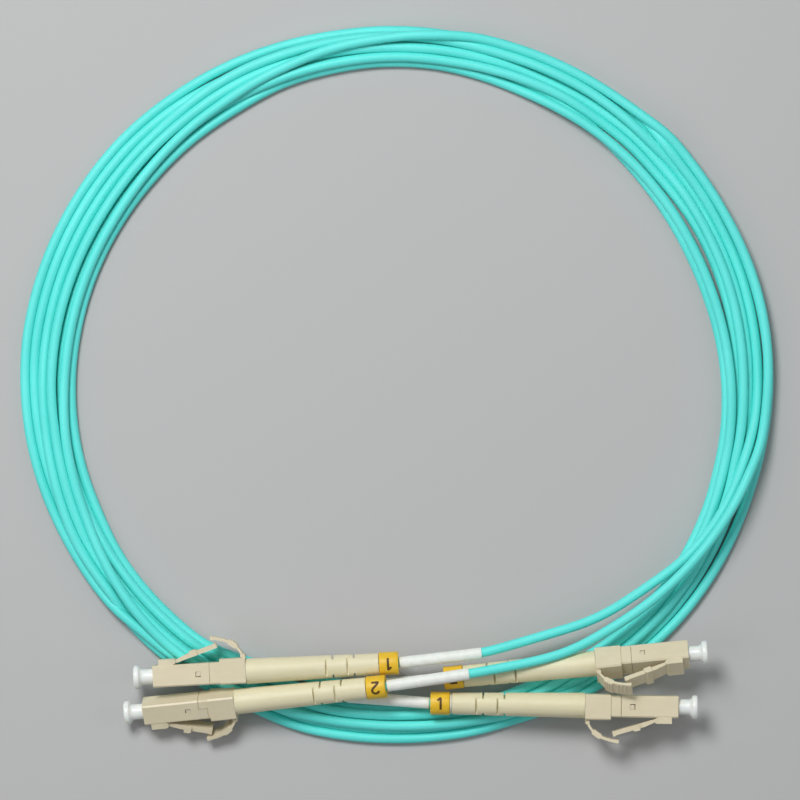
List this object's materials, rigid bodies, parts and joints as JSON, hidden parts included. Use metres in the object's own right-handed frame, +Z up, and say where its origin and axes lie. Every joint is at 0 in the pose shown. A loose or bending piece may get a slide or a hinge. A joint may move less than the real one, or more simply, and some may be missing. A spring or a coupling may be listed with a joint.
{
  "type": "fiber optic patch cord",
  "caption": "Duplex fibre optic patch cord: aqua simplex cords coiled together, with small latched ivory plugs, boots, number markers, sleeves and dust caps",
  "frame": {"origin": "on the surface the cord lies on, under the middle of the row of four plugs", "axes": "+Z up from the surface; +X along the row of plugs towards the right pair; +Y across the coil, away from the plugs"},
  "size_m": [0.1562, 0.1486, 0.0139],
  "materials": {
    "cable_jacket": "satin aqua cable jacket",
    "ivory_housing": "moulded ivory plastic",
    "ivory_boot": "soft moulded ivory boot",
    "white_cap": "translucent white plastic",
    "white_sleeve": "shrunk white sleeve",
    "yellow_marker": "soft yellow number marker",
    "zirconia": "polished ceramic",
    "holder_metal": "nickel-plated brass",
    "spring_steel": "spring wire",
    "crimp_metal": "nickel-plated, knurled tail",
    "crimp_tube": "crimped tube"
  },
  "bodies": {
    "cord": {"coil": "cable_jacket", "lead_a1": "cable_jacket", "lead_a2": "cable_jacket", "lead_b1": "cable_jacket", "lead_b2": "cable_jacket", "front_housing_a1": "ivory_housing", "front_housing_a2": "ivory_housing", "front_housing_b1": "ivory_housing", "front_housing_b2": "ivory_housing", "rear_housing_a1": "ivory_housing", "rear_housing_a2": "ivory_housing", "rear_housing_b1": "ivory_housing", "rear_housing_b2": "ivory_housing", "boot_a1": "ivory_boot", "boot_a2": "ivory_boot", "boot_b1": "ivory_boot", "boot_b2": "ivory_boot", "spring_a1": "spring_steel", "spring_a2": "spring_steel", "spring_b1": "spring_steel", "spring_b2": "spring_steel", "crimp_body_a1": "crimp_metal", "crimp_body_a2": "crimp_metal", "crimp_body_b1": "crimp_metal", "crimp_body_b2": "crimp_metal", "crimp_sleeve_a1": "crimp_tube", "crimp_sleeve_a2": "crimp_tube", "crimp_sleeve_b1": "crimp_tube", "crimp_sleeve_b2": "crimp_tube", "number_marker_a1": "yellow_marker", "number_marker_a2": "yellow_marker", "number_marker_b1": "yellow_marker", "number_marker_b2": "yellow_marker", "id_sleeve_a1": "white_sleeve", "id_sleeve_a2": "white_sleeve", "id_sleeve_b1": "white_sleeve", "id_sleeve_b2": "white_sleeve"},
    "cap_a1": {"dust_cap_a1": "white_cap"},
    "latch_a1": {"latch_a1": "ivory_housing"},
    "trigger_a1": {"trigger_a1": "ivory_housing"},
    "ferrule_a1": {"ferrule_a1": "zirconia", "ferrule_flange_a1": "holder_metal"},
    "cap_a2": {"dust_cap_a2": "white_cap"},
    "latch_a2": {"latch_a2": "ivory_housing"},
    "trigger_a2": {"trigger_a2": "ivory_housing"},
    "ferrule_a2": {"ferrule_a2": "zirconia", "ferrule_flange_a2": "holder_metal"},
    "cap_b1": {"dust_cap_b1": "white_cap"},
    "latch_b1": {"latch_b1": "ivory_housing"},
    "trigger_b1": {"trigger_b1": "ivory_housing"},
    "ferrule_b1": {"ferrule_b1": "zirconia", "ferrule_flange_b1": "holder_metal"},
    "cap_b2": {"dust_cap_b2": "white_cap"},
    "latch_b2": {"latch_b2": "ivory_housing"},
    "trigger_b2": {"trigger_b2": "ivory_housing"},
    "ferrule_b2": {"ferrule_b2": "zirconia", "ferrule_flange_b2": "holder_metal"}
  },
  "joints": [
    {"name": "dust_cap_slide_a1", "type": "slide", "parent": "cord", "child": "cap_a1", "axis": [-0.9983, -0.0558, -0.0175], "range_m": [0, 0.01]},
    {"name": "trigger_hinge_a1", "type": "hinge", "parent": "cord", "child": "trigger_a1", "pos_m": [-0.03559, 0.00726, 0.00671], "axis": [-0.0174, -0.001, 0.9998], "range_deg": [0, 18], "stiffness_Nm_per_rad": 0.0004},
    {"name": "latch_hinge_a1", "type": "hinge", "parent": "cord", "child": "latch_a1", "pos_m": [-0.04994, 0.00601, 0.00646], "axis": [0.0174, 0.001, -0.9998], "range_deg": [0, 11.2], "stiffness_Nm_per_rad": 0.0001},
    {"name": "ferrule_slide_a1", "type": "slide", "parent": "cord", "child": "ferrule_a1", "axis": [0.9983, 0.0558, 0.0175], "range_m": [0, 0.002], "stiffness_N_per_m": 600, "deforming": ["spring_a1"]},
    {"name": "dust_cap_slide_a2", "type": "slide", "parent": "cord", "child": "cap_a2", "axis": [-0.9874, -0.1073, -0.1167], "range_m": [0, 0.01]},
    {"name": "trigger_hinge_a2", "type": "hinge", "parent": "cord", "child": "trigger_a2", "pos_m": [-0.0371, -0.00536, 0.00459], "axis": [0.0569, 0.4471, -0.8927], "range_deg": [0, 18], "stiffness_Nm_per_rad": 0.0004},
    {"name": "latch_hinge_a2", "type": "hinge", "parent": "cord", "child": "latch_a2", "pos_m": [-0.05139, -0.0065, 0.00311], "axis": [-0.0569, -0.4471, 0.8927], "range_deg": [0, 11.2], "stiffness_Nm_per_rad": 0.0001},
    {"name": "ferrule_slide_a2", "type": "slide", "parent": "cord", "child": "ferrule_a2", "axis": [0.9874, 0.1073, 0.1167], "range_m": [0, 0.002], "stiffness_N_per_m": 600, "deforming": ["spring_a2"]},
    {"name": "dust_cap_slide_b1", "type": "slide", "parent": "cord", "child": "cap_b1", "axis": [0.9996, -0.014, 0.0262], "range_m": [0, 0.01]},
    {"name": "trigger_hinge_b1", "type": "hinge", "parent": "cord", "child": "trigger_b1", "pos_m": [0.03559, -0.00642, 0.00673], "axis": [-0.0262, 0.0004, 0.9997], "range_deg": [0, 18], "stiffness_Nm_per_rad": 0.0004},
    {"name": "latch_hinge_b1", "type": "hinge", "parent": "cord", "child": "latch_b1", "pos_m": [0.04999, -0.00617, 0.00711], "axis": [0.0262, -0.0004, -0.9997], "range_deg": [0, 11.2], "stiffness_Nm_per_rad": 0.0001},
    {"name": "ferrule_slide_b1", "type": "slide", "parent": "cord", "child": "ferrule_b1", "axis": [-0.9996, 0.014, -0.0262], "range_m": [0, 0.002], "stiffness_N_per_m": 600, "deforming": ["spring_b1"]},
    {"name": "dust_cap_slide_b2", "type": "slide", "parent": "cord", "child": "cap_b2", "axis": [0.993, 0.1009, 0.061], "range_m": [0, 0.01]},
    {"name": "trigger_hinge_b2", "type": "hinge", "parent": "cord", "child": "trigger_b2", "pos_m": [0.038, 0.0031, 0.00955], "axis": [-0.1101, 0.6076, 0.7865], "range_deg": [0, 18], "stiffness_Nm_per_rad": 0.0004},
    {"name": "latch_hinge_b2", "type": "hinge", "parent": "cord", "child": "latch_b2", "pos_m": [0.05228, 0.0049, 0.01016], "axis": [0.1101, -0.6076, -0.7865], "range_deg": [0, 11.2], "stiffness_Nm_per_rad": 0.0001},
    {"name": "ferrule_slide_b2", "type": "slide", "parent": "cord", "child": "ferrule_b2", "axis": [-0.993, -0.1009, -0.061], "range_m": [0, 0.002], "stiffness_N_per_m": 600, "deforming": ["spring_b2"]}
  ],
  "couplings": [
    {"joint": "latch_hinge_a1", "follows": "trigger_hinge_a1", "ratio": 0.62},
    {"joint": "latch_hinge_a2", "follows": "trigger_hinge_a2", "ratio": 0.62},
    {"joint": "latch_hinge_b1", "follows": "trigger_hinge_b1", "ratio": 0.62},
    {"joint": "latch_hinge_b2", "follows": "trigger_hinge_b2", "ratio": 0.62}
  ]
}
